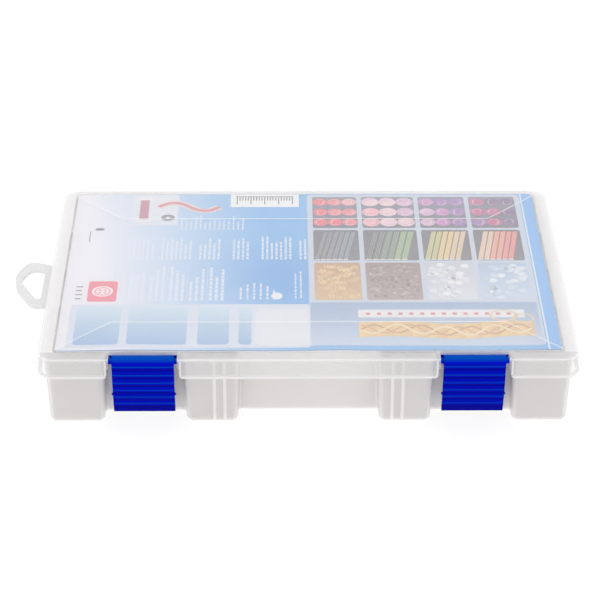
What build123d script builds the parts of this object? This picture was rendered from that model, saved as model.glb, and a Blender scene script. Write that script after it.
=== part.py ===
from build123d import *
import os
from math import radians, sqrt, tan

os.makedirs("parts", exist_ok=True)

# ------------------------------------------------------------------ driving dimensions, mm
# Frame: X to the right, Y to the back, Z up. Origin on the floor, under the middle of the lid.

# lid
LID_W, LID_D, LID_R = 273.0, 184.0, 9.0  # over the bead at the skirt's bottom edge
BEAD_OUT = 0.3  # how far that bead stands out of the skirt
BEAD_H = 1.2
SKIRT_Z = 29.0  # bottom of the skirt
SKIRT_T = 1.3
RIM_Z, RIM_IN = 40.3, 39.1  # flat border of the top: upper and lower face
LOOP_Z, LOOP_T = 29.6, 1.8  # plate of the hanging loop
TOP_Z, TOP_IN = 41.0, 39.6  # raised centre panel: upper and lower face
PANEL_X, PANEL_Y0, PANEL_Y1, PANEL_R = 128.8, -84.8, 89.6, 4.0
LINE_W, LINE_H = 0.9, 0.3  # raised lines on the panel
FRAME_X, FRAME_Y = 101.0, 56.3  # half length of the two long lines, and how far each is from the middle
DIAG_X, DIAG_Y = 128.0, 83.3  # where the diagonals end

# tray
TRAY_H = 38.9
FLOOR = 1.6
WALL = 1.5
DRAFT = 2.0  # degrees, opening upwards
TRAY_X, TRAY_YB, TRAY_YF = 131.3, 86.9, -87.4  # outside, at the bottom
POCKET_Y, MID_Y = -77.5, -76.5  # walls behind the latches and in the middle
BOSS_A, BOSS_B = 35.8, 62.0  # inner bosses, |x| at the bottom
BOSS_C = 103.4  # corner bosses start here
TRAY_RV, TRAY_RC, TRAY_RB = 3.8, 2.0, 3.5  # convex corners, concave corners, bottom edge
LONG_Y = (45.9, 5.3, -35.3)  # fixed long walls
LONG_T, LONG_H = 1.3, 38.2

# slots and dividers
COLUMN = 45.0
RAIL_W, RAIL_D, RAIL_C = 1.6, 1.8, 2.5  # width, depth, centre from the slot's middle
PLATE_T, END_T, END_D, DIV_H = 1.3, 2.6, 1.6, 38.5
SLOT_CLEAR = 0.15

# latches
LATCH_X, LATCH_W = 83.25, 31.2
PIV_Y, PIV_Z = -88.3, 37.3
BARREL_R, PIN_R, BORE_R, LIP_W = 2.8, 1.5, 1.57, 34.0
FACE_R, FACE_CY, FACE_CZ, FACE_T = 115.0, 24.05, 41.3, 1.7
FACE_BOTTOM = 5.6
RIB_Z = (34.9, 29.8, 24.9, 20.2, 15.7, 11.2)
GAP_A, GAP_B = 65.0, 101.5  # skirt gap, |x|
CHEEKS = ((64.7, 66.0), (100.5, 101.8))
PLATE_EDGE_Y = -85.6  # edge of the top in the latch gaps
LEDGE_Y, LEDGE_Z0, LEDGE_Z1 = -83.4, 9.0, 10.6

# lid hinge
HINGE_Y, HINGE_Z = 94.0, 30.0
HINGE_X = (-95.0, 0.0, 95.0)
HPIN_R, KNUCKLE_RI, KNUCKLE_RO, KNUCKLE_W = 1.6, 1.67, 3.2, 15.4
EAR_GAP, EAR_T = 16.0, 3.0
MOUTH = 2.7

GROW = tan(radians(DRAFT))


def tray_outline(g):
    """Corner points of the tray's outline, moved outwards by g on every side."""
    right = [
        (BOSS_A - g, MID_Y - g),
        (BOSS_A - g, TRAY_YF - g),
        (BOSS_B + g, TRAY_YF - g),
        (BOSS_B + g, POCKET_Y - g),
        (BOSS_C - g, POCKET_Y - g),
        (BOSS_C - g, TRAY_YF - g),
        (TRAY_X + g, TRAY_YF - g),
        (TRAY_X + g, TRAY_YB + g),
    ]
    left = [(-x, y) for x, y in reversed(right)]
    return right + left


def is_post(edge):
    """True for the edges that run up the tray's corners."""
    return edge.length > 30 and abs(edge.tangent_at(0.5).Z) > 0.9


def is_concave(edge):
    """True for the corners where the front wall turns inwards."""
    return -81 < edge.center().Y < 0


def face_y(z, inset=0.0):
    """Y of the latch's curved face at a height."""
    return FACE_CY - sqrt((FACE_R - inset) ** 2 - (z - FACE_CZ) ** 2)


# ------------------------------------------------------------------ tray
# The hollow of the tray, with the fixed walls and slot rails left out of it.
with BuildPart() as hollow:
    with BuildSketch(Plane.XY.offset(FLOOR)):
        with BuildLine():
            Polyline(*tray_outline(FLOOR * GROW - WALL), close=True)
        make_face()
    extrude(amount=TRAY_H - FLOOR + 0.5, taper=-DRAFT)
    fillet([e for e in hollow.edges() if is_post(e) and is_concave(e)], TRAY_RC + WALL - 0.3)
    fillet([e for e in hollow.edges() if is_post(e) and not is_concave(e)], TRAY_RV - WALL + 0.3)
    fillet(hollow.faces().sort_by(Axis.Z)[0].edges(), 1.0)
    # fixed long walls
    for y in LONG_Y:
        with BuildSketch(Plane.XY.offset(FLOOR - 1)):
            with Locations((0, y)):
                Rectangle(2 * TRAY_X + 8, LONG_T)
        extrude(amount=LONG_H - FLOOR + 1, mode=Mode.SUBTRACT)
    # slot rails on both sides of every fixed wall, on the back wall and in the inner bosses
    rails = []
    for x in (-2 * COLUMN, -COLUMN, 0, COLUMN, 2 * COLUMN):
        rails.append((x, TRAY_YB + FLOOR * GROW - WALL - RAIL_D, TRAY_YB + 4))
        for i, y in enumerate(LONG_Y):
            rails.append((x, y, y + LONG_T / 2 + RAIL_D))
            if i < 2 or abs(x) == COLUMN:
                rails.append((x, y - LONG_T / 2 - RAIL_D, y))
        if abs(x) == COLUMN:
            rails.append((x, TRAY_YF - 4, TRAY_YF - FLOOR * GROW + WALL + RAIL_D))
    with BuildSketch(Plane.XY.offset(FLOOR - 1)):
        for x, ya, yb in rails:
            for s in (-1, 1):
                with Locations((x + s * RAIL_C, (ya + yb) / 2)):
                    Rectangle(RAIL_W, yb - ya)
    extrude(amount=LONG_H - FLOOR + 1, mode=Mode.SUBTRACT)

with BuildPart() as base_tray:
    with BuildSketch():
        with BuildLine():
            Polyline(*tray_outline(0), close=True)
        make_face()
    extrude(amount=TRAY_H, taper=-DRAFT)
    fillet([e for e in base_tray.edges() if is_post(e) and is_concave(e)], TRAY_RC)
    fillet([e for e in base_tray.edges() if is_post(e) and not is_concave(e)], TRAY_RV)
    fillet(base_tray.faces().sort_by(Axis.Z)[0].edges(), TRAY_RB)
    add(hollow.part, mode=Mode.SUBTRACT)
    # catch ledges behind the latches
    for s in (-1, 1):
        with BuildSketch(Plane.YZ.offset(s * LATCH_X - 13)):
            with BuildLine():
                Polyline(
                    (POCKET_Y + 0.9, LEDGE_Z0),
                    (LEDGE_Y, LEDGE_Z0),
                    (LEDGE_Y, LEDGE_Z1),
                    (POCKET_Y + 0.9, LEDGE_Z1 + 3.0),
                    close=True,
                )
            make_face()
        extrude(amount=26)
    # hinge ears and their pins
    for x in HINGE_X:
        for x0 in (x - EAR_GAP / 2 - EAR_T, x + EAR_GAP / 2):
            with BuildSketch(Plane.YZ.offset(x0)):
                with BuildLine():
                    Polyline(
                        (TRAY_YB + 0.3, HINGE_Z + KNUCKLE_RO),
                        (HINGE_Y, HINGE_Z + KNUCKLE_RO),
                        (HINGE_Y, HINGE_Z - KNUCKLE_RO),
                        (TRAY_YB + 0.3, HINGE_Z - 10),
                        close=True,
                    )
                make_face()
                with Locations((HINGE_Y, HINGE_Z)):
                    Circle(KNUCKLE_RO)
            extrude(amount=EAR_T)
        with BuildSketch(Plane.YZ.offset(x - EAR_GAP / 2 - 0.5)):
            with Locations((HINGE_Y, HINGE_Z)):
                Circle(HPIN_R)
        extrude(amount=EAR_GAP + 1)
base_tray.part.label = "base_tray"
export_step(base_tray.part, "parts/base_tray.step")

# ------------------------------------------------------------------ lid
SW, SD = LID_W - 2 * BEAD_OUT, LID_D - 2 * BEAD_OUT
PANEL_CY, PANEL_D = (PANEL_Y0 + PANEL_Y1) / 2, PANEL_Y1 - PANEL_Y0
with BuildPart() as lid:
    with BuildSketch(Plane.XY.offset(SKIRT_Z)):
        RectangleRounded(SW, SD, LID_R - BEAD_OUT)
    extrude(amount=RIM_Z - SKIRT_Z)
    fillet(lid.faces().sort_by(Axis.Z)[-1].edges(), 1.1)
    # bead round the bottom edge
    with BuildSketch(Plane.XY.offset(SKIRT_Z)):
        RectangleRounded(LID_W, LID_D, LID_R)
    bead = extrude(amount=BEAD_H)
    # raised centre panel
    with BuildSketch(Plane.XY.offset(RIM_Z - 0.5)):
        with Locations((0, PANEL_CY)):
            RectangleRounded(2 * PANEL_X + 0.8, PANEL_D + 0.8, PANEL_R + 0.4)
    extrude(amount=TOP_Z - RIM_Z + 0.5)
    fillet(lid.faces().sort_by(Axis.Z)[-1].edges(), 0.35)
    # inside of the skirt and of the panel
    with BuildSketch(Plane.XY.offset(SKIRT_Z)):
        RectangleRounded(SW - 2 * SKIRT_T, SD - 2 * SKIRT_T, LID_R - BEAD_OUT - SKIRT_T)
    extrude(amount=RIM_IN - SKIRT_Z, mode=Mode.SUBTRACT)
    with BuildSketch(Plane.XY.offset(RIM_IN)):
        with Locations((0, PANEL_CY)):
            RectangleRounded(2 * PANEL_X, PANEL_D, PANEL_R)
    extrude(amount=TOP_IN - RIM_IN, mode=Mode.SUBTRACT)
    # raised lines: two along the panel, and four diagonals from their ends to the panel's corners
    with BuildSketch(Plane.XY.offset(TOP_Z - 0.1)):
        with Locations((0, -FRAME_Y), (0, FRAME_Y)):
            Rectangle(2 * FRAME_X + LINE_W, LINE_W)
    extrude(amount=LINE_H + 0.1, taper=25)
    for sx in (-1, 1):
        for sy in (-1, 1):
            run = sqrt((DIAG_X - FRAME_X) ** 2 + (DIAG_Y - FRAME_Y) ** 2)
            with BuildSketch(Plane.XY.offset(TOP_Z - 0.1)):
                with Locations(
                    Location(
                        (sx * (FRAME_X + DIAG_X) / 2, sy * (FRAME_Y + DIAG_Y) / 2, 0),
                        (0, 0, sx * sy * 45),
                    )
                ):
                    Rectangle(run, LINE_W)
            extrude(amount=LINE_H + 0.1, taper=25)
    # gaps for the latches
    with BuildSketch(Plane.XZ.offset(-PLATE_EDGE_Y)):
        for s in (-1, 1):
            with Locations((s * (GAP_A + GAP_B) / 2, 35)):
                Rectangle(GAP_B - GAP_A, 16)
    extrude(amount=10, mode=Mode.SUBTRACT)
    corners = [
        e
        for e in lid.edges().filter_by(Axis.Y)
        if abs(e.center().Z - SKIRT_Z) < 0.01 and e.center().Y < -88 and min(abs(abs(e.center().X) - GAP_A), abs(abs(e.center().X) - GAP_B)) < 0.01
    ]
    fillet(corners, 2.2)
    # upright beads beside the gaps
    with BuildSketch(Plane.XZ.offset(SD / 2 - 0.3)) as front_bead:
        with Locations((0, SKIRT_Z)):
            Rectangle(2 * GAP_A, 10.2, align=(Align.CENTER, Align.MIN))
        fillet(front_bead.vertices().group_by(Axis.Y)[0], 2.2)
        with Locations((0, SKIRT_Z + 1.0)):
            Rectangle(2 * GAP_A - 2.0, 10.2, align=(Align.CENTER, Align.MIN), mode=Mode.SUBTRACT)
    extrude(amount=0.3 + BEAD_OUT)
    for s in (-1, 1):
        with BuildSketch(Plane.XZ.offset(SD / 2 - 0.3)):
            with Locations((s * (GAP_B + 0.5), SKIRT_Z + 2.1)):
                Rectangle(1.0, 8.1, align=(Align.CENTER, Align.MIN))
        extrude(amount=0.3 + BEAD_OUT)
    # the same beads carried back over the rim
    with BuildSketch(Plane.XY.offset(RIM_Z - 0.2)):
        for s in (-1, 1):
            for x in (GAP_A - 0.5, GAP_B + 0.5):
                with Locations((s * x, -88.1)):
                    Rectangle(1.0, 6.4)
    extrude(amount=0.5, taper=15)
    # cheeks that carry the latch pins
    for s in (-1, 1):
        for xa, xb in CHEEKS:
            with BuildSketch(Plane.YZ.offset(min(s * xa, s * xb))) as cheek:
                with BuildLine():
                    Polyline(
                        (-91.5, RIM_Z - 0.1),
                        (-91.5, 33.8),
                        (-84.5, 33.8),
                        (-81.2, 36.8),
                        (-81.2, RIM_IN),
                        (PLATE_EDGE_Y + 0.9, RIM_IN),
                        (PLATE_EDGE_Y + 0.9, RIM_Z - 0.1),
                        close=True,
                    )
                make_face()
                fillet(cheek.vertices().sort_by(Axis.X).group_by(Axis.X)[0], 1.0)
                with Locations((PIV_Y, PIV_Z)):
                    Circle(BORE_R, mode=Mode.SUBTRACT)
            extrude(amount=xb - xa)
    # bores again, through the skirt's edge beside the cheeks
    for s in (-1, 1):
        with BuildSketch(Plane.YZ.offset(s * LATCH_X - (CHEEKS[1][1] - CHEEKS[0][0]) / 2)):
            with Locations((PIV_Y, PIV_Z)):
                Circle(BORE_R)
        extrude(amount=CHEEKS[1][1] - CHEEKS[0][0], mode=Mode.SUBTRACT)
    # hinge knuckles, snapped on the tray's pins from above
    for x in HINGE_X:
        for x0 in (x - EAR_GAP / 2 - EAR_T - 0.3, x + EAR_GAP / 2 - 0.3):
            with BuildSketch(Plane.XY.offset(SKIRT_Z - 1)):
                with Locations((x0 + (EAR_T + 0.6) / 2, 91)):
                    Rectangle(EAR_T + 0.6, 4)
            extrude(amount=6.2, mode=Mode.SUBTRACT)
        with BuildSketch(Plane.YZ.offset(x - KNUCKLE_W / 2)):
            with Locations((HINGE_Y, HINGE_Z)):
                Circle(KNUCKLE_RO)
            with BuildLine():
                Polyline(
                    (91.0, HINGE_Z),
                    (91.0, HINGE_Z + 5.6),
                    (91.8, HINGE_Z + 5.6),
                    (HINGE_Y, HINGE_Z + KNUCKLE_RO),
                    (HINGE_Y, HINGE_Z),
                    close=True,
                )
            make_face()
            with Locations((HINGE_Y, HINGE_Z)):
                Circle(KNUCKLE_RI, mode=Mode.SUBTRACT)
            with Locations((HINGE_Y, HINGE_Z - 3)):
                Rectangle(MOUTH, 6, mode=Mode.SUBTRACT)
        extrude(amount=KNUCKLE_W)
    # hanging loop on the left
    with BuildSketch(Plane.XY.offset(LOOP_Z)) as loop:
        with BuildLine():
            Polyline(
                (-135.6, 20.2), (-150.3, 26.0), (-156.9, 10.5), (-154.8, -5.0), (-145.2, -23.4), (-135.6, -22.6), close=True
            )
        make_face()
        fillet([v for v in loop.vertices() if v.X < -145 and v.Y > 20], 5.0)
        fillet([v for v in loop.vertices() if v.X < -156.5 and 9 < v.Y < 12], 20.0)
        fillet([v for v in loop.vertices() if v.X < -154 and -6 < v.Y < -4], 22.0)
        fillet([v for v in loop.vertices() if -147 < v.X < -143 and v.Y < -20], 6.0)
    extrude(amount=LOOP_T)
    with BuildSketch(Plane.XY.offset(LOOP_Z - 1)) as eye:
        with BuildLine():
            Polyline((-141.1, 14.8), (-148.4, 16.9), (-153.6, 4.1), (-141.1, -20.2), close=True)
        make_face()
        fillet([v for v in eye.vertices() if v.X > -142 and v.Y > 10], 1.8)
        fillet([v for v in eye.vertices() if -149 < v.X < -147 and v.Y > 10], 4.6)
        fillet([v for v in eye.vertices() if v.X < -150 and 3 < v.Y < 5], 8.0)
        fillet([v for v in eye.vertices() if v.X > -143 and v.Y < -15], 1.6)
    extrude(amount=5, mode=Mode.SUBTRACT)
    fillet([e for e in lid.edges() if e.center().X < -138.5 and abs(e.center().Z - LOOP_Z - LOOP_T) < 0.01], 0.5)
lid.part.label = "lid"
export_step(lid.part, "parts/lid.step")

# ------------------------------------------------------------------ latches
for side, name in ((-1, "latch_left"), (1, "latch_right")):
    cx = side * LATCH_X
    with BuildPart() as latch:
        with BuildSketch(Plane.YZ.offset(cx - LATCH_W / 2)):
            # curved face plate
            with BuildLine():
                top, mid, low = PIV_Z, 21.0, FACE_BOTTOM
                ThreePointArc((face_y(top), top), (face_y(mid), mid), (face_y(low), low))
                Line((face_y(low), low), (face_y(low + 0.6, FACE_T), low + 0.6))
                ThreePointArc(
                    (face_y(low + 0.6, FACE_T), low + 0.6), (face_y(mid, FACE_T), mid), (face_y(top, FACE_T), top)
                )
                Line((face_y(top, FACE_T), top), (face_y(top), top))
            make_face()
            # barrel round the pivot
            with Locations((PIV_Y, PIV_Z)):
                Circle(BARREL_R)
            # grip ribs
            with Locations(*[(face_y(z) + 0.05, z) for z in RIB_Z]):
                Circle(0.68)
            # catch bead under the tray's ledge
            with Locations((-84.35, 7.65)):
                Circle(0.8)
        extrude(amount=LATCH_W)
        # tail under the edge of the lid's top, with a lip wider than the barrel
        with BuildSketch(Plane.YZ.offset(cx - LATCH_W / 2)):
            with BuildLine():
                Polyline((PIV_Y, 38.7), (-84.6, 38.7), (-84.6, 36.9), (PIV_Y, 36.2), close=True)
            make_face()
        extrude(amount=LATCH_W)
        with BuildSketch(Plane.YZ.offset(cx - LIP_W / 2)):
            with BuildLine():
                Polyline((-84.9, 38.7), (-82.9, 38.7), (-82.5, 38.3), (-82.5, 37.4), (-84.9, 36.85), close=True)
            make_face()
        extrude(amount=LIP_W)
        # pivot pins
        with BuildSketch(Plane.YZ.offset(cx - 18.4)):
            with Locations((PIV_Y, PIV_Z)):
                Circle(PIN_R)
        extrude(amount=36.8)
        # small snap nubs on both side edges
        with BuildSketch(Plane.YZ.offset(cx - LATCH_W / 2 - 0.6)):
            with Locations((-87.6, 17.5)):
                Circle(0.7)
        extrude(amount=LATCH_W + 1.2)
    latch.part.label = name
    export_step(latch.part, f"parts/{name}.step")

# ------------------------------------------------------------------ insert card
CARD_X, CARD_Y0, CARD_Y1, CARD_T = 128.0, -82.0, 89.2, 0.4
with BuildPart() as insert_card:
    with BuildSketch(Plane.XY.offset(TOP_IN - CARD_T)):
        with Locations((0, (CARD_Y0 + CARD_Y1) / 2)):
            RectangleRounded(2 * CARD_X, CARD_Y1 - CARD_Y0, 2.0)
    extrude(amount=CARD_T)
insert_card.part.label = "insert_card"
export_step(insert_card.part, "parts/insert_card.step")

# ------------------------------------------------------------------ dividers
# Each stands on the floor between two rails at either end. Its ends follow the wall they meet.
back_in = lambda z: TRAY_YB + z * GROW - WALL
front_in = lambda z: TRAY_YF - z * GROW + WALL
spans = []
for row, (lo, hi) in enumerate(((LONG_Y[0], None), (LONG_Y[1], LONG_Y[0]), (LONG_Y[2], LONG_Y[1])), start=1):
    y0 = lo + LONG_T / 2 + SLOT_CLEAR
    for pos, x in enumerate((-2 * COLUMN, -COLUMN, 0, COLUMN, 2 * COLUMN), start=1):
        if hi is None:
            b, t = back_in(FLOOR) - SLOT_CLEAR, back_in(DIV_H) - SLOT_CLEAR
        else:
            b = t = hi - LONG_T / 2 - SLOT_CLEAR
        spans.append((f"divider_row{row}_pos{pos}", x, (y0, y0), (b, t)))
y1 = LONG_Y[2] - LONG_T / 2 - SLOT_CLEAR
for name, x in (("divider_front_left", -COLUMN), ("divider_front_right", COLUMN)):
    spans.append((name, x, (front_in(FLOOR) + SLOT_CLEAR, front_in(DIV_H) + SLOT_CLEAR), (y1, y1)))

for name, x, (ab, at), (bb, bt) in spans:
    with BuildPart() as divider:
        with BuildSketch(Plane.YZ.offset(x - PLATE_T / 2)) as web:
            with BuildLine():
                Polyline((ab, FLOOR), (bb, FLOOR), (bt, DIV_H), (at, DIV_H), close=True)
            make_face()
            chamfer(web.vertices().group_by(Axis.Y)[0], 1.4)
            fillet(web.vertices().group_by(Axis.Y)[-1], 1.0)
        extrude(amount=PLATE_T)
        # thicker ends that stand between the rails
        with BuildSketch(Plane.YZ.offset(x - END_T / 2)) as ends:
            with BuildLine():
                Polyline((ab, FLOOR), (bb, FLOOR), (bt, DIV_H), (at, DIV_H), close=True)
            make_face()
            chamfer(ends.vertices().group_by(Axis.Y)[0], 1.4)
            fillet(ends.vertices().group_by(Axis.Y)[-1], 1.0)
            with BuildLine():
                Polyline(
                    (ab + END_D, FLOOR - 1), (bb - END_D, FLOOR - 1), (bt - END_D, DIV_H + 1), (at + END_D, DIV_H + 1), close=True
                )
            make_face(mode=Mode.SUBTRACT)
        extrude(amount=END_T)
    divider.part.label = name
    export_step(divider.part, f"parts/{name}.step")
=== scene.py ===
import math
import random

import bpy
from mathutils import Matrix, Vector


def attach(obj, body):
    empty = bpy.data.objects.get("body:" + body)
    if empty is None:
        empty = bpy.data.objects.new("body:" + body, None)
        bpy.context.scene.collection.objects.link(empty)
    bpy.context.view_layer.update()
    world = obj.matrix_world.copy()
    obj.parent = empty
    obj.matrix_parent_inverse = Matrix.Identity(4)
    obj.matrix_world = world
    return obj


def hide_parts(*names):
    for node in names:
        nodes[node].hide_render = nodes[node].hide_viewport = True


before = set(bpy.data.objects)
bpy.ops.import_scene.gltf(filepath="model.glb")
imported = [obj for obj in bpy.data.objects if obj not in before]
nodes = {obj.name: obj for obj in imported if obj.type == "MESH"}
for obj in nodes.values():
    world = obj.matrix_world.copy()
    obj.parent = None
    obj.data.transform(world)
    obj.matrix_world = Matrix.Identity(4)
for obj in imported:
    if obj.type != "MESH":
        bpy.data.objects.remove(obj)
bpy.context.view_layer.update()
scene = bpy.context.scene
MM = 0.001

scene.view_settings.view_transform = "Standard"
scene.view_settings.look = "None"
scene.view_settings.exposure = 0.0
scene.view_settings.gamma = 1.0
scene.cycles.transparent_max_bounces = 48
scene.cycles.max_bounces = 16
scene.cycles.diffuse_bounces = 6
scene.cycles.glossy_bounces = 4
scene.cycles.transmission_bounces = 12


# ------------------------------------------------------------------ camera
def make_camera():
    pitch, yaw, roll = math.radians(29.97), math.radians(0.6), math.radians(-0.197)
    ct, st = math.cos(pitch), math.sin(pitch)
    right = Vector((math.cos(yaw), -math.sin(yaw), 0))
    fwd = Vector((ct * math.sin(yaw), ct * math.cos(yaw), -st))
    up = Vector((st * math.sin(yaw), st * math.cos(yaw), ct))
    rx = math.cos(roll) * right - math.sin(roll) * up
    uy = math.sin(roll) * right + math.cos(roll) * up
    cam = bpy.data.cameras.new("camera")
    cam.sensor_width = 36.0
    cam.lens = 2335.7 / 600 * 36.0
    cam.clip_start, cam.clip_end = 0.05, 20
    ob = bpy.data.objects.new("camera", cam)
    scene.collection.objects.link(ob)
    m = Matrix.Identity(4)
    for i, col in enumerate((rx, uy, -fwd)):
        for k in range(3):
            m[k][i] = col[k]
    m.translation = Vector((-0.0150, -1.0871, 0.6485))
    ob.matrix_world = m
    scene.camera = ob


make_camera()


# ------------------------------------------------------------------ node helpers
def new_material(name):
    m = bpy.data.materials.new(name)
    m.use_nodes = True
    nt = m.node_tree
    nt.nodes.clear()
    out = nt.nodes.new("ShaderNodeOutputMaterial")
    bsdf = nt.nodes.new("ShaderNodeBsdfPrincipled")
    nt.links.new(bsdf.outputs[0], out.inputs[0])
    return m, nt, bsdf


def coords(nt):
    return nt.nodes.new("ShaderNodeTexCoord").outputs["Object"]


def noise(nt, vec, scale, detail=2.0, rough=0.5, dist=0.0):
    n = nt.nodes.new("ShaderNodeTexNoise")
    n.inputs["Scale"].default_value = scale
    n.inputs["Detail"].default_value = detail
    n.inputs["Roughness"].default_value = rough
    n.inputs["Distortion"].default_value = dist
    nt.links.new(vec, n.inputs["Vector"])
    return n.outputs["Fac"]


def remap(nt, val, a, b, c, d):
    n = nt.nodes.new("ShaderNodeMapRange")
    n.inputs["From Min"].default_value = a
    n.inputs["From Max"].default_value = b
    n.inputs["To Min"].default_value = c
    n.inputs["To Max"].default_value = d
    nt.links.new(val, n.inputs["Value"])
    return n.outputs[0]


def math_node(nt, op, a, b=None, clamp=False):
    n = nt.nodes.new("ShaderNodeMath")
    n.operation = op
    n.use_clamp = clamp
    for i, v in enumerate((a, b)):
        if v is None:
            continue
        if isinstance(v, (int, float)):
            n.inputs[i].default_value = v
        else:
            nt.links.new(v, n.inputs[i])
    return n.outputs[0]


def mix_color(nt, fac, a, b):
    n = nt.nodes.new("ShaderNodeMix")
    n.data_type = "RGBA"
    for sock, v in ((n.inputs[0], fac), (n.inputs[6], a), (n.inputs[7], b)):
        if isinstance(v, (tuple, list)):
            sock.default_value = (*v, 1.0) if len(v) == 3 else v
        elif isinstance(v, (int, float)):
            sock.default_value = v
        else:
            nt.links.new(v, sock)
    return n.outputs[2]


def bump(nt, height, strength, distance):
    n = nt.nodes.new("ShaderNodeBump")
    n.inputs["Strength"].default_value = strength
    n.inputs["Distance"].default_value = distance
    nt.links.new(height, n.inputs["Height"])
    return n.outputs[0]


# ------------------------------------------------------------------ materials
def above(nt, val, at, width=0.0003):
    """0 below a place along an axis, 1 above it, with a soft edge."""
    return remap(nt, val, at - width / 2, at + width / 2, 0.0, 1.0)


def below(nt, val, at, width=0.0003):
    return remap(nt, val, at - width / 2, at + width / 2, 1.0, 0.0)


def both(nt, *vals):
    out = vals[0]
    for v in vals[1:]:
        out = math_node(nt, "MULTIPLY", out, v)
    return out


def blend_to(nt, base, mask, value):
    """base where the mask is 0, value where it is 1."""
    n = nt.nodes.new("ShaderNodeMix")
    n.data_type = "FLOAT"
    for sock, v in ((n.inputs[0], mask), (n.inputs[2], base), (n.inputs[3], value)):
        if isinstance(v, (int, float)):
            sock.default_value = v
        else:
            nt.links.new(v, sock)
    return n.outputs[0]


def rounded(nt):
    """0 on faces that lie along an axis, 1 where an edge is rounded off, from the surface's own direction."""
    tc = nt.nodes.new("ShaderNodeTexCoord")
    ab = nt.nodes.new("ShaderNodeVectorMath")
    ab.operation = "ABSOLUTE"
    nt.links.new(tc.outputs["Normal"], ab.inputs[0])
    sep = nt.nodes.new("ShaderNodeSeparateXYZ")
    nt.links.new(ab.outputs[0], sep.inputs[0])
    top = math_node(nt, "MAXIMUM", math_node(nt, "MAXIMUM", sep.outputs[0], sep.outputs[1]), sep.outputs[2])
    return remap(nt, top, 0.98, 0.80, 0.0, 1.0)


def lid_regions(nt, x, y, z):
    """Clear panel, frostier rim and skirt. The raised lines, the beads and the upper edge fillet are painted nearly
    white as painted highlights, and the rim's front strip is painted darker than its sides and back as painted shade.
    """
    ax = math_node(nt, "ABSOLUTE", x)
    panel = both(nt, below(nt, ax, 0.1288), above(nt, y, -0.0848), below(nt, y, 0.0896), above(nt, z, 0.0394))
    # line, bead and edge mark the raised panel lines, the skirt's beads and the upper edge fillet, where the painted
    # highlights go
    line = above(nt, z, 0.04112, 0.0001)
    bead = both(nt, math_node(nt, "MAXIMUM", below(nt, z, 0.0302, 0.0002), below(nt, y, -0.09185, 0.0001)), above(nt, x, -0.1372))
    edge = both(nt, above(nt, z, 0.0393, 0.0003), below(nt, z, 0.0401, 0.0003), below(nt, panel, 0.5, 0.5))
    eye = below(nt, x, -0.1372)
    border = above(nt, z, 0.0385, 0.002)
    flank = both(nt, border, above(nt, y, -0.0848, 0.0004))
    a = blend_to(nt, 0.26, border, 0.46)
    a = blend_to(nt, a, flank, 0.56)
    # painted light: the left side of the rim is made more opaque, so it reads lighter
    a = blend_to(nt, a, both(nt, flank, below(nt, x, -0.1288)), 0.74)
    a = blend_to(nt, a, panel, 0.195)
    a = blend_to(nt, a, line, 0.62)
    a = blend_to(nt, a, bead, 0.62)
    a = blend_to(nt, a, edge, 0.62)
    a = blend_to(nt, a, eye, 0.50)
    # rim colour: painted shade, the front strip is painted darker (0.86) than the sides and back (0.98)
    shade = blend_to(nt, blend_to(nt, 0.88, border, 0.86), flank, 0.98)
    shade = blend_to(nt, shade, panel, 0.96)
    # painted highlights: raised lines, beads and edge fillet painted nearly white; the hanging loop is darker
    for mask, value in ((line, 1.0), (bead, 0.94), (edge, 0.97), (eye, 0.80)):
        shade = blend_to(nt, shade, mask, value)
    return a, shade


def tray_regions(nt, x, y, z):
    """Frosted walls. Where slot rails and inner walls join them from behind, the plastic is doubled and more opaque,
    and its colour is painted whiter there as painted light; rounded edges get a painted highlight, and the front-most
    faces a painted shade.
    """
    ax = math_node(nt, "ABSOLUTE", x)
    ends = math_node(nt, "MAXIMUM", below(nt, y, -0.0815), above(nt, y, 0.084))
    rails = 0.0
    for at in (0.0, 0.045, 0.090):
        off = math_node(nt, "ABSOLUTE", math_node(nt, "SUBTRACT", ax, at))
        band = both(nt, above(nt, off, 0.0018, 0.0005), below(nt, off, 0.0034, 0.0005))
        band = both(nt, band, ends if at == 0.045 else above(nt, y, 0.084))
        rails = math_node(nt, "MAXIMUM", rails, band)
    sides = 0.0
    for at in (0.0459, 0.0053, -0.0353):
        off = math_node(nt, "ABSOLUTE", math_node(nt, "SUBTRACT", y, at))
        sides = math_node(nt, "MAXIMUM", sides, below(nt, off, 0.0009, 0.0006))
    sides = both(nt, sides, above(nt, ax, 0.1295))
    # where rails and inner walls join from behind: more opaque plastic, with the colour painted whiter as painted light
    thick_painted_light = both(nt, math_node(nt, "MAXIMUM", rails, sides), below(nt, z, 0.0382, 0.0004))
    # rounded edges: painted highlight, the colour painted whiter where an edge is rounded off
    thick_painted_light = math_node(nt, "MAXIMUM", thick_painted_light, math_node(nt, "MULTIPLY", rounded(nt), 0.65))
    # front-most faces: painted shade, their colour painted darker (0.79 against 0.90)
    front = below(nt, y, -0.0858, 0.002)
    a = blend_to(nt, 0.56, below(nt, z, 0.0018, 0.0004), 0.62)
    a = blend_to(nt, a, thick_painted_light, 0.70)
    shade = blend_to(nt, blend_to(nt, 0.90, front, 0.79), thick_painted_light, 0.95)
    return a, shade


def divider_regions(nt, x, y, z):
    return 0.60, 0.90


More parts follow.
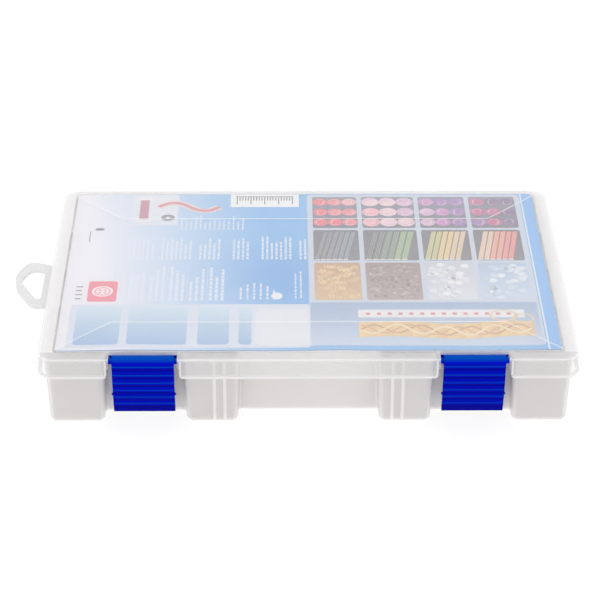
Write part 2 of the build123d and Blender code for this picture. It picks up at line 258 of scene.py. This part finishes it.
def frosted(name, tint, regions, rough, grain=0.05):
    """Frosted translucent polypropylene: a milky skin that lets part of what lies behind show."""
    m, nt, p = new_material(name)
    co = coords(nt)
    flow = noise(nt, co, 9.0, 3.0, 0.55, 0.6)
    fine = noise(nt, co, 900.0, 2.0, 0.6)
    sep = nt.nodes.new("ShaderNodeSeparateXYZ")
    nt.links.new(co, sep.inputs[0])
    alpha, shade = regions(nt, *sep.outputs)
    p.inputs["IOR"].default_value = 1.49
    n = nt.nodes.new("ShaderNodeVectorMath")
    n.operation = "SCALE"
    nt.links.new(mix_color(nt, remap(nt, flow, 0.3, 0.7, 0.0, 1.0), tint, tuple(min(1.0, c * 1.03) for c in tint)), n.inputs[0])
    if isinstance(shade, (int, float)):
        n.inputs["Scale"].default_value = shade
    else:
        nt.links.new(shade, n.inputs["Scale"])
    nt.links.new(n.outputs[0], p.inputs["Base Color"])
    nt.links.new(remap(nt, fine, 0.3, 0.7, rough - 0.05, rough + 0.07), p.inputs["Roughness"])
    nt.links.new(math_node(nt, "MULTIPLY", remap(nt, flow, 0.3, 0.7, 0.97, 1.03), alpha, clamp=True), p.inputs["Alpha"])
    nt.links.new(bump(nt, fine, grain, 0.0002), p.inputs["Normal"])
    return m


lid_mat = frosted("lid_plastic", (0.966, 0.954, 0.957), lid_regions, 0.22, 0.03)
tray_mat = frosted("tray_plastic", (0.978, 0.952, 0.940), tray_regions, 0.36, 0.06)
divider_mat = frosted("divider_plastic", (0.96, 0.955, 0.95), divider_regions, 0.34, 0.05)


def latch_plastic():
    """Glossy royal blue polypropylene, coloured through. Its colour carries painted light: upward faces are painted a
    lighter blue as a painted highlight, with a painted shade band just under each rib and over the bottom section.
    """
    m, nt, p = new_material("latch_plastic")
    co = coords(nt)
    flow = noise(nt, co, 60.0, 2.0, 0.5, 0.4)
    fine = noise(nt, co, 1400.0, 2.0, 0.6)
    tc = nt.nodes.new("ShaderNodeTexCoord")
    sep = nt.nodes.new("ShaderNodeSeparateXYZ")
    nt.links.new(tc.outputs["Normal"], sep.inputs[0])
    # upward faces: painted highlight, their colour painted a lighter blue
    upward = remap(nt, sep.outputs[2], 0.16, 0.80, 0.0, 1.0)
    obj = nt.nodes.new("ShaderNodeSeparateXYZ")
    nt.links.new(co, obj.inputs[0])
    # painted shade: a darker band just under each rib, fading back to the lit colour further down
    lit = 1.0
    for rib in (0.0349, 0.0298, 0.0249, 0.0202, 0.0157, 0.0112):
        fall = remap(nt, obj.outputs[2], rib - 0.0007, rib - 0.0036, 0.0, 1.0)
        lit = math_node(nt, "MINIMUM", lit, math_node(nt, "MAXIMUM", above(nt, obj.outputs[2], rib - 0.0005), fall))
    # painted shade: the bottom section, below 9 mm, darkened to a quarter
    lit = both(nt, lit, remap(nt, obj.outputs[2], 0.0090, 0.0108, 0.25, 1.0))
    # the lit blue, and in the next line its darker painted shade copy, mixed by the rib bands
    lit_blue = mix_color(nt, flow, (0.0, 0.003, 0.48), (0.0, 0.0045, 0.52))
    body = mix_color(nt, lit, (0.0, 0.0006, 0.22), lit_blue)
    nt.links.new(mix_color(nt, upward, body, (0.0, 0.066, 0.47)), p.inputs["Base Color"])
    nt.links.new(remap(nt, fine, 0.3, 0.7, 0.26, 0.34), p.inputs["Roughness"])
    p.inputs["IOR"].default_value = 1.49
    p.inputs["Specular IOR Level"].default_value = 0.02
    nt.links.new(bump(nt, fine, 0.03, 0.0001), p.inputs["Normal"])
    return m


def printed_card():
    """Coated card: the ink comes from the mesh's own colours, over a fibre grain."""
    m, nt, p = new_material("printed_card")
    co = coords(nt)
    ink = nt.nodes.new("ShaderNodeVertexColor")
    ink.layer_name = "ink"
    fibre = noise(nt, co, 1600.0, 3.0, 0.6)
    cloud = noise(nt, co, 45.0, 2.0, 0.5)
    tone = math_node(nt, "ADD", remap(nt, fibre, 0.3, 0.7, 0.97, 1.03), remap(nt, cloud, 0.3, 0.7, -0.012, 0.012))
    n = nt.nodes.new("ShaderNodeVectorMath")
    n.operation = "SCALE"
    nt.links.new(ink.outputs["Color"], n.inputs[0])
    nt.links.new(tone, n.inputs["Scale"])
    nt.links.new(n.outputs[0], p.inputs["Base Color"])
    nt.links.new(remap(nt, fibre, 0.3, 0.7, 0.36, 0.5), p.inputs["Roughness"])
    nt.links.new(bump(nt, fibre, 0.05, 0.0001), p.inputs["Normal"])
    return m


blue_mat = latch_plastic()
card_mat = printed_card()


def dress(ob, mat):
    ob.data.materials.clear()
    ob.data.materials.append(mat)


for name, ob in nodes.items():
    if name == "lid":
        dress(ob, lid_mat)
    elif name.startswith("latch"):
        dress(ob, blue_mat)
    elif name.startswith("divider"):
        dress(ob, divider_mat)
    elif name == "base_tray":
        dress(ob, tray_mat)


# ------------------------------------------------------------------ the printed card
X0, X1, Y0, Y1 = -128.0, 128.0, -82.0, 89.2
CARD_TOP, CARD_T, LAYER = 39.27, 0.2, 0.016


def srgb(r, g, b):
    def lin(c):
        c /= 255.0
        return c / 12.92 if c <= 0.04045 else ((c + 0.055) / 1.055) ** 2.4

    return (lin(r), lin(g), lin(b))


def wave(x, y):
    return 0.03 * math.sin(x / 21.0 + 0.6) * math.sin(y / 30.0 + 1.0) + 0.02 * math.sin(x / 47.0 - y / 35.0)


def slip(x, y):
    """The front edge isn't quite straight."""
    k = max(0.0, (-55.0 - y) / 27.0)
    return k * (0.32 * math.sin(x / 17.0 + 0.4) + 0.22 * math.sin(x / 8.3))


def corner(x, y):
    """Brings a point beyond one of the card's rounded corners back onto it."""
    cx, cy = max(X0 + 2.0, min(X1 - 2.0, x)), max(Y0 + 2.0, min(Y1 - 2.0, y))
    d = math.hypot(x - cx, y - cy)
    if cx == x or cy == y or d <= 2.0:
        return x, y
    return cx + (x - cx) * 2.0 / d, cy + (y - cy) * 2.0 / d


class Print:
    def __init__(self):
        self.v, self.f, self.c = [], [], []

    def poly(self, pts, color, layer):
        if callable(color):
            cx = sum(p[0] for p in pts) / len(pts)
            cy = sum(p[1] for p in pts) / len(pts)
            colors = [color(*p) for p in pts]
        else:
            colors = [color] * len(pts)
        n = len(self.v)
        for x, y in pts:
            x, y = corner(x, y)
            self.v.append((x * MM, (y + slip(x, y)) * MM, (CARD_TOP + layer * LAYER + wave(x, y)) * MM))
        self.f.append(tuple(range(n, n + len(pts))))
        self.c.append(colors)

    def rect(self, x0, y0, x1, y1, color, layer, cell=5.0):
        nx, ny = max(1, math.ceil((x1 - x0) / cell)), max(1, math.ceil((y1 - y0) / cell))
        for i in range(nx):
            for j in range(ny):
                a, b = x0 + (x1 - x0) * i / nx, x0 + (x1 - x0) * (i + 1) / nx
                c, d = y0 + (y1 - y0) * j / ny, y0 + (y1 - y0) * (j + 1) / ny
                self.poly([(a, c), (b, c), (b, d), (a, d)], color, layer)

    def disc(self, cx, cy, rx, ry, color, layer, n=22, turn=0.0):
        ca, sa = math.cos(turn), math.sin(turn)
        pts = []
        for i in range(n):
            t = 2 * math.pi * i / n
            u, w = rx * math.cos(t), ry * math.sin(t)
            pts.append((cx + ca * u - sa * w, cy + sa * u + ca * w))
        self.poly(pts, color, layer)

    def ring(self, cx, cy, r0, r1, color, layer, n=22, squash=1.0):
        for i in range(n):
            t, s = 2 * math.pi * i / n, 2 * math.pi * (i + 1) / n
            self.poly(
                [
                    (cx + r0 * math.cos(t), cy + squash * r0 * math.sin(t)),
                    (cx + r1 * math.cos(t), cy + squash * r1 * math.sin(t)),
                    (cx + r1 * math.cos(s), cy + squash * r1 * math.sin(s)),
                    (cx + r0 * math.cos(s), cy + squash * r0 * math.sin(s)),
                ],
                color,
                layer,
            )

    def line(self, pts, w, color, layer):
        for (ax, ay), (bx, by) in zip(pts, pts[1:]):
            dx, dy = bx - ax, by - ay
            k = math.hypot(dx, dy) or 1.0
            nx, ny = -dy / k * w / 2, dx / k * w / 2
            self.poly([(ax - nx, ay - ny), (bx - nx, by - ny), (bx + nx, by + ny), (ax + nx, ay + ny)], color, layer)

    def round_rect(self, x0, y0, x1, y1, r, color, layer):
        """Laid in strips, so that a shading and the card's waves carry over it."""
        rows = []
        n = 6
        for i in range(n + 1):
            a = math.pi / 2 * i / n
            rows.append((y0 + r - r * math.cos(a), r - r * math.sin(a)))
        steps = max(1, math.ceil((y1 - y0 - 2 * r) / 5))
        for i in range(1, steps):
            rows.append((y0 + r + (y1 - y0 - 2 * r) * i / steps, 0.0))
        for i in range(n + 1):
            a = math.pi / 2 * i / n
            rows.append((y1 - r + r * math.sin(a), r - r * math.cos(a)))
        for (ya, ia), (yb, ib) in zip(rows, rows[1:]):
            if yb - ya < 1e-6:
                continue
            k = max(1, math.ceil((x1 - x0) / 6))
            for j in range(k):
                u, w = j / k, (j + 1) / k
                self.poly(
                    [
                        (x0 + ia + (x1 - x0 - 2 * ia) * u, ya),
                        (x0 + ia + (x1 - x0 - 2 * ia) * w, ya),
                        (x0 + ib + (x1 - x0 - 2 * ib) * w, yb),
                        (x0 + ib + (x1 - x0 - 2 * ib) * u, yb),
                    ],
                    color,
                    layer,
                )


def lerp(a, b, t):
    t = max(0.0, min(1.0, t))
    return tuple(x + (y - x) * t for x, y in zip(a, b))


WHITE = srgb(244, 244, 246)
PALE = srgb(244, 243, 250)
SKY = srgb(102, 186, 240)
DEEP = srgb(28, 158, 230)


def ground(x, y):
    """Pale at the left, blue towards the middle and the right."""
    t = (x + 112.0 + 0.12 * (y - 10)) / 95.0
    c = lerp(PALE, SKY, t)
    d = math.exp(-(((x + 14) / 38.0) ** 2) - (((y + 6) / 34.0) ** 2))
    return lerp(c, DEEP, 0.75 * d * max(0.0, min(1.0, t)))


def build_print():
    rnd = random.Random(41)
    p = Print()
    # ---- card ground, edge border and right-hand strip
    p.rect(X0, Y0, X1, Y1, ground, 0, 4.0)
    p.rect(X0 + 0.3, Y0 + 0.1, X1 - 0.3, Y0 + 1.2, srgb(70, 140, 195), 1, 4.0)
    p.rect(121.2, Y0 + 1.0, 122.0, Y1 - 0.6, WHITE, 2)
    p.rect(122.0, Y0 + 1.0, 127.4, Y1 - 0.6, srgb(104, 184, 246), 2)

    # ---- pale ruled dashes in two bands, where a card of this kind carries its notes
    def dashes(x, y0, y1, w, color, layer):
        y = y0
        while y < y1:
            step = rnd.uniform(1.6, 4.6)
            p.rect(x, y, x + w, min(y + step, y1), color, layer, 30)
            y += step + rnd.uniform(0.5, 0.9)

    note = srgb(232, 238, 250)
    x = -99.0
    for group in (7, 7, 5, 4, 7, 5):
        for i in range(group):
            dashes(x, 13.2, 13.2 + rnd.uniform(16, 26), 1.2, note, 2)
            x += 2.5
        x += 3.0 if group == 7 else 5.6
    x = -101.0
    for group in (1, 2, 2, 2, 2, 2):
        p.rect(x - 1.4, -31.5, x - 1.0, 9.0, srgb(214, 228, 246), 2)
        for i in range(group + 1):
            dashes(x, -31.0, -31.0 + rnd.uniform(16, 38), 1.5, note, 2)
            x += 3.1
        x += 1.2
    for i in range(6):
        dashes(-35.5 + i * 3.5, -30.0, -30.0 + rnd.uniform(10, 20), 1.1, note, 2)
    for i in range(2):
        dashes(-6.6 + i * 2.8, -29.0, -29.0 + rnd.uniform(24, 34), 0.9, note, 2)
    for i in range(14):
        dashes(-69.0 + i * 2.6, 47.0, 47.0 + rnd.uniform(8, 17), 0.9, note, 2)
    # ---- white panel with a measuring scale, each fifth tick longer
    p.rect(-42.0, 73.7, -3.6, 89.0, srgb(250, 250, 252), 3)
    p.rect(-39.0, 86.0, -6.6, 86.6, srgb(92, 92, 100), 4, 20)
    for i in range(21):
        p.rect(-38.6 + i * 1.55, 77.0 if i % 5 == 0 else 81.5, -38.0 + i * 1.55, 86.0, srgb(92, 92, 100), 4, 20)
    # ---- a round white mark, left bare
    p.disc(-16.0, -26.5, 3.0, 3.6, srgb(246, 246, 250), 3, 28)
    # ---- four-hole button on a pink tile
    p.round_rect(-115.2, -32.0, -100.0, -10.6, 1.4, srgb(244, 96, 132), 3)
    p.ring(-107.6, -21.3, 4.2, 5.6, srgb(252, 240, 244), 4, 32)
    p.disc(-107.6, -21.3, 3.6, 3.6, srgb(252, 236, 241), 4, 28)
    for sx in (-1, 1):
        for sy in (-1, 1):
            p.disc(-107.6 + sx * 1.3, -21.3 + sy * 1.3, 0.65, 0.65, srgb(236, 92, 128), 5, 12)
    # ---- small grey ticks by the left edge
    for i in range(4):
        p.rect(-121.6, -29.5 + i * 4.2, -118.6 + (i % 2) * 0.6, -28.3 + i * 4.2, srgb(122, 122, 138), 2, 20)
    p.rect(-118.6, 33.0, -117.9, 45.0, srgb(150, 150, 165), 2, 20)
    p.disc(-113.4, 47.5, 2.6, 1.6, srgb(96, 94, 112), 2, 20)
    # ---- a reel and a ribbon at the back
    p.round_rect(-97.0, 52.0, -71.0, 88.6, 1.0, srgb(232, 236, 246), 2)
    p.round_rect(-92.5, 58.0, -87.5, 83.0, 1.6, srgb(196, 116, 140), 3)
    p.round_rect(-94.2, 55.5, -85.8, 59.0, 1.0, WHITE, 4)
    p.round_rect(-94.2, 82.0, -85.8, 85.5, 1.0, WHITE, 4)
    pts = [(-82.0 + i * 1.3, 74.0 + 5.0 * math.sin(i / 4.2)) for i in range(27)]
    p.line(pts, 5.6, srgb(238, 232, 226), 4)
    p.line(pts, 2.6, srgb(232, 120, 140), 5)
    p.disc(-76.5, 61.0, 3.8, 3.8, srgb(122, 124, 142), 4, 24)
    p.disc(-76.5, 61.0, 1.2, 1.2, WHITE, 5, 14)

    # ---- tray of pale panels at the front left
    def recess(x, y):
        t = (y + 76.0) / 40.0
        return lerp(srgb(140, 184, 228), srgb(212, 232, 244), t)

    p.round_rect(-123.0, -78.6, 1.0, -35.0, 1.5, srgb(222, 228, 242), 1)
    for a, b in ((-119.5, -96.5), (-92.5, -62.0), (-56.5, -40.5), (-35.5, -29.0)):
        p.round_rect(a, -75.6, b, -37.4, 2.2, recess, 2)
    p.round_rect(-27.0, -77.0, 24.0, -40.0, 5.0, srgb(234, 236, 242), 3)

    # ---- the big picture: a grid of craft supplies, four columns wide
    px0, px1, py0, py1 = 1.5, 120.6, -77.0, 88.4
    p.round_rect(px0 - 0.6, py0, px1, py1, 3.0, srgb(206, 216, 232), 4)
    cols = (2.6, 30.0, 62.0, 90.5, 119.0)
    rows = (86.8, 47.4, 10.4, -32.0)
    cell_ground = ((srgb(120, 126, 150), srgb(84, 86, 112)), (srgb(70, 70, 92), srgb(98, 96, 110)), (srgb(190, 170, 150), srgb(176, 176, 190)))
    for r in range(3):
        for c in range(4):
            g0, g1 = cell_ground[r]
            a, b = cols[c] + 1.3, cols[c + 1] - 1.3
            t, u = rows[r] - 1.2, rows[r + 1] + 1.2
            if r == 2:
                g0, g1 = ((srgb(196, 150, 96), srgb(222, 184, 130)), (srgb(150, 122, 118), srgb(176, 152, 146)), (srgb(204, 208, 218), srgb(224, 228, 236)), (srgb(178, 200, 226), srgb(206, 220, 238)))[c]
            p.round_rect(a, u, b, t, 1.6, (lambda lo, hi, y0, y1: lambda x, y: lerp(lo, hi, (y - y0) / (y1 - y0)))(g1, g0, u, t), 5)
    # first row: balls of yarn, coral to lilac to plum
    shades = [srgb(*v) for v in ((248, 88, 108), (250, 132, 146), (252, 186, 196), (248, 214, 224), (232, 190, 220), (214, 136, 206), (168, 108, 190), (206, 62, 142), (120, 70, 138))]
    k = 0
    for c in range(4):
        a, b = cols[c] + 1.5, cols[c + 1] - 1.5
        n = 3
        w = (b - a) / n
        for j in range(3):
            for i in range(n):
                cx = a + w * (i + 0.5)
                cy = rows[1] + 8.0 + j * 12.0
                r = min(w, 11.6) * 0.5
                base = shades[min(len(shades) - 1, int((c * n + i + 0.5 * j) / 12.0 * len(shades)))]
                p.disc(cx, cy, r, r * 1.02, base, 6, 26)
                for q in range(3):
                    t0 = 0.5 + 1.05 * q + 0.6 * k
                    arc = [(cx + (r * 0.82) * math.cos(t0 + s * 0.32) * (0.5 + 0.16 * q), cy + (r * 0.82) * math.sin(t0 + s * 0.32)) for s in range(7)]
                    p.line(arc, 0.42, lerp(base, WHITE, 0.55), 7)
                    arc = [(cx + (r * 0.8) * math.sin(t0 + s * 0.3), cy + (r * 0.8) * math.cos(t0 + s * 0.3) * (0.4 + 0.2 * q)) for s in range(7)]
                    p.line(arc, 0.34, lerp(base, srgb(60, 30, 60), 0.35), 7)
                k += 1
    # second row: slanted ribbons, navy to green to yellow to orange
    tones = [srgb(*v) for v in ((38, 40, 66), (44, 60, 92), (58, 92, 112), (40, 40, 52), (74, 108, 76), (128, 164, 92), (196, 190, 84), (236, 198, 96), (226, 196, 140), (238, 196, 160), (244, 138, 92), (240, 96, 84))]
    for c in range(4):
        a, b = cols[c] + 2.0, cols[c + 1] - 2.0
        n = 6
        w = (b - a - 5.0) / n
        y0, y1 = rows[2] + 3.0, rows[1] - 3.0
        for i in range(n):
            base = tones[min(len(tones) - 1, int((c * n + i) / 24.0 * len(tones)))]
            xa = a + w * i
            lean = 5.0
            p.poly([(xa, y0), (xa + w * 0.84, y0), (xa + w * 0.84 + lean, y1), (xa + lean, y1)], base, 6)
            for q in range(3):
                s = (0.16 + 0.24 * q) * w
                p.line([(xa + s, y0 + 0.5), (xa + s + lean, y1 - 0.5)], 0.35, lerp(base, WHITE, 0.42), 7)
            p.poly([(xa, y0 - 1.2), (xa + w * 0.84, y0 - 1.2), (xa + w * 0.84, y0), (xa, y0)], srgb(236, 236, 240), 6)
    # third row: brass rings, dark beads, pearls, blue discs
    for c in range(4):
        a, b = cols[c] + 3.6, cols[c + 1] - 3.6
        y0, y1 = rows[3] + 3.8, rows[2] - 3.8
        if c == 0:
            for i in range(70):
                p.ring(rnd.uniform(a, b), rnd.uniform(y0, y1), 0.9, 1.6, lerp(srgb(232, 176, 88), srgb(250, 226, 168), rnd.random()), 6 + (i % 3) * 0.6, 12)
        elif c == 1:
            for i in range(150):
                p.disc(rnd.uniform(a, b), rnd.uniform(y0, y1), 1.0, 1.0, lerp(srgb(104, 84, 84), srgb(206, 190, 186), rnd.random()), 6 + (i % 3) * 0.6, 9)
        else:
            for i in range(34):
                cx, cy = rnd.uniform(a, b), rnd.uniform(y0, y1)
                tone = lerp(srgb(246, 244, 246), srgb(226, 228, 236), rnd.random()) if c == 2 else lerp(srgb(236, 242, 250), srgb(196, 214, 236), rnd.random())
                p.disc(cx, cy, 2.5, 2.5, lerp(tone, srgb(120, 120, 140), 0.35), 6 + (i % 4) * 0.5, 18)
                p.disc(cx + 0.15, cy + 0.2, 2.25, 2.25, tone, 6.25 + (i % 4) * 0.5, 18)
    # front band: a pale tape over a braided golden ribbon
    p.rect(px0, -76.0, px1 - 1.4, -33.4, lambda x, y: lerp(srgb(202, 216, 236), srgb(150, 178, 214), (y + 76) / 43.0), 5)
    p.rect(26.0, -49.0, 112.0, -41.0, srgb(240, 238, 240), 6)
    for i in range(14):
        p.rect(30.0 + i * 5.6, -46.4, 32.2 + i * 5.6, -44.0, srgb(224, 120, 130), 7, 20)
    n = 60
    for i in range(n):
        xa, xb = 26.0 + 90.0 * i / n, 26.0 + 90.0 * (i + 1) / n
        ya, yb = -61.5 + 1.4 * math.sin(i / 7.0), -61.5 + 1.4 * math.sin((i + 1) / 7.0)
        p.poly([(xa, ya - 7.5), (xb, yb - 7.5), (xb, yb + 7.5), (xa, ya + 7.5)], lerp(srgb(246, 214, 140), srgb(232, 190, 134), (i % 6) / 6.0), 6)
    for phase, tone in ((0.0, srgb(204, 150, 104)), (math.pi, srgb(250, 234, 196)), (math.pi / 2, srgb(222, 172, 118))):
        pts = [(27.0 + i * 0.9, -61.5 + 1.4 * math.sin((i * 0.6) / 7.0) + 4.2 * math.sin(i / 4.4 + phase)) for i in range(98)]
        p.line(pts, 1.3, tone, 7 + phase * 0.3)
    p.ring(101.0, -47.0, 6.0, 7.4, srgb(238, 214, 180), 9, 34, 0.8)
    p.ring(111.0, -50.0, 4.4, 5.6, srgb(238, 214, 180), 9, 30, 0.9)
    return p


def make_card():
    p = build_print()
    # card body: the grid's outline gives the sides, with a plain back
    v, f, c = list(p.v), list(p.f), list(p.c)
    edge = []
    n = 64
    for i in range(n):
        edge.append((X0 + (X1 - X0) * i / n, Y0))
    for i in range(43):
        edge.append((X1, Y0 + (Y1 - Y0) * i / 43))
    for i in range(n):
        edge.append((X1 - (X1 - X0) * i / n, Y1))
    for i in range(43):
        edge.append((X0, Y1 - (Y1 - Y0) * i / 43))
    start = len(v)
    for x, y in edge:
        x, y = corner(x, y)
        yy = y + slip(x, y)
        v.append((x * MM, yy * MM, (CARD_TOP + wave(x, y)) * MM))
        v.append((x * MM, yy * MM, (CARD_TOP - CARD_T + wave(x, y)) * MM))
    k = len(edge)
    side = srgb(238, 238, 242)
    for i in range(k):
        a, b = start + 2 * i, start + 2 * ((i + 1) % k)
        f.append((a + 1, b + 1, b, a))
        c.append([side] * 4)
    back = srgb(240, 240, 243)
    nx, ny = 64, 43
    at = len(v)
    for j in range(ny + 1):
        for i in range(nx + 1):
            x, y = corner(X0 + (X1 - X0) * i / nx, Y0 + (Y1 - Y0) * j / ny)
            v.append((x * MM, (y + slip(x, y)) * MM, (CARD_TOP - CARD_T + wave(x, y)) * MM))
    for j in range(ny):
        for i in range(nx):
            a = at + j * (nx + 1) + i
            f.append((a, a + nx + 1, a + nx + 2, a + 1))
            c.append([back] * 4)
    me = bpy.data.meshes.new("insert_card_print")
    me.from_pydata(v, [], f)
    me.validate()
    ink = me.color_attributes.new("ink", "FLOAT_COLOR", "CORNER")
    flat = []
    for cols in c:
        for col in cols:
            flat.extend((*col, 1.0))
    ink.data.foreach_set("color", flat)
    me.materials.append(card_mat)
    ob = bpy.data.objects.new("insert_card_print", me)
    scene.collection.objects.link(ob)
    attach(ob, "lid")
    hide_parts("insert_card")
    return ob


card = make_card()


# ------------------------------------------------------------------ floor and light
def make_floor():
    me = bpy.data.meshes.new("floor")
    s, z = 3.0, -0.0004
    me.from_pydata([(-s, -s, z), (s, -s, z), (s, s, z), (-s, s, z)], [], [(0, 1, 2, 3)])
    ob = bpy.data.objects.new("floor", me)
    scene.collection.objects.link(ob)
    m, nt, p = new_material("floor_paper")
    co = coords(nt)
    nt.links.new(mix_color(nt, noise(nt, co, 6.0), (0.25, 0.25, 0.25), (0.27, 0.27, 0.27)), p.inputs["Base Color"])
    p.inputs["Roughness"].default_value = 0.9
    p.inputs["Specular IOR Level"].default_value = 0.1
    p.inputs["Emission Color"].default_value = (1.0, 1.0, 1.0, 1.0)
    p.inputs["Emission Strength"].default_value = 0.80
    me.materials.append(m)


def area(name, loc, target, size, power, color=(1, 1, 1)):
    li = bpy.data.lights.new(name, "AREA")
    li.shape = "RECTANGLE"
    li.size, li.size_y = size
    li.energy = power
    li.color = color
    ob = bpy.data.objects.new(name, li)
    scene.collection.objects.link(ob)
    ob.location = loc
    ob.rotation_euler = (Vector(target) - Vector(loc)).to_track_quat("-Z", "Y").to_euler()
    return ob


make_floor()
world = bpy.data.worlds.new("studio")
scene.world = world
world.use_nodes = True
bg = world.node_tree.nodes.get("Background") or world.node_tree.nodes.new("ShaderNodeBackground")
bg.inputs["Color"].default_value = (1.0, 1.0, 1.0, 1.0)
bg.inputs["Strength"].default_value = 0.90
area("top_softbox", (0.0, 0.25, 1.6), (0, 0, 0), (1.6, 1.2), 3.4)
area("front_fill", (-0.5, -1.8, 0.7), (0, 0, 0.02), (1.2, 0.8), 3.0)
